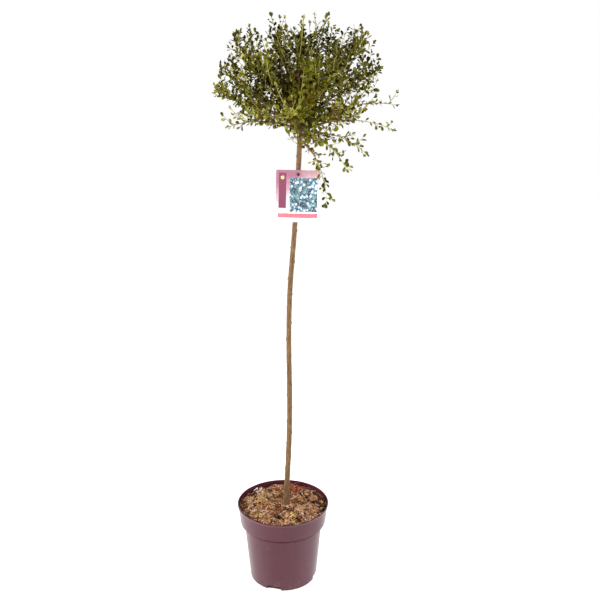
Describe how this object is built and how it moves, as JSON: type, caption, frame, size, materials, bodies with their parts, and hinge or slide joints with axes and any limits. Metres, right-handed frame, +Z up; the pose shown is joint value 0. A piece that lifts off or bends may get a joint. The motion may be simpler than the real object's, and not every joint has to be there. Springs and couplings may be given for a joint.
{
  "type": "potted evergreen shrub grown as a standard",
  "caption": "Small-leaved evergreen shrub on a slender clear stem with a loose round head, in a round plastic nursery pot filled with fibrous potting mix.",
  "frame": {"origin": "middle of the pot's flat underside", "axes": "+Z up along the stem; +X to the right and -Y towards someone who looks at the plant's front, where the tag hangs"},
  "size_m": [0.3473, 0.2844, 1.1366],
  "materials": {
    "pot_plastic": "satin moulded plastic, dusky maroon",
    "potting_mix": "loose coir fibre and bark chips, tan to dark brown",
    "stem_bark": "thin smooth olive-brown bark with small bud scars",
    "twig_bark": "young red-brown bark",
    "foliage": "glossy dark green leaves with yellow-green young shoots",
    "tag_card": null,
    "tie_wire": "dark coated wire"
  },
  "bodies": {
    "root": {"pot": "pot_plastic", "potting_mix": "potting_mix", "trunk": "stem_bark", "bough_top_left": "twig_bark", "foliage_top_left": "foliage", "bough_top_right": "twig_bark", "foliage_top_right": "foliage", "bough_top_back": "twig_bark", "foliage_top_back": "foliage", "bough_top_front": "twig_bark", "foliage_top_front": "foliage", "bough_upper_right": "twig_bark", "foliage_upper_right": "foliage", "bough_upper_left": "twig_bark", "foliage_upper_left": "foliage", "bough_upper_back_right": "twig_bark", "foliage_upper_back_right": "foliage", "bough_upper_back_left": "twig_bark", "foliage_upper_back_left": "foliage", "bough_front_left": "twig_bark", "foliage_front_left": "foliage", "bough_front_right": "twig_bark", "foliage_front_right": "foliage", "bough_left_shoulder": "twig_bark", "foliage_left_shoulder": "foliage", "bough_right_shoulder": "twig_bark", "foliage_right_shoulder": "foliage", "bough_left": "twig_bark", "foliage_left": "foliage", "bough_right": "twig_bark", "foliage_right": "foliage", "bough_back": "twig_bark", "foliage_back": "foliage", "bough_low_left": "twig_bark", "foliage_low_left": "foliage", "bough_low_right": "twig_bark", "foliage_low_right": "foliage", "bough_low_back_left": "twig_bark", "foliage_low_back_left": "foliage", "bough_low_back_right": "twig_bark", "foliage_low_back_right": "foliage", "bough_low_front": "twig_bark", "foliage_low_front": "foliage", "bough_droop_right": "twig_bark", "foliage_droop_right": "foliage", "bough_droop_front": "twig_bark", "foliage_droop_front": "foliage", "bough_trail_front": "twig_bark", "foliage_trail_front": "foliage", "tag_card": "tag_card", "tag_tie": "tie_wire"}
  },
  "joints": []
}
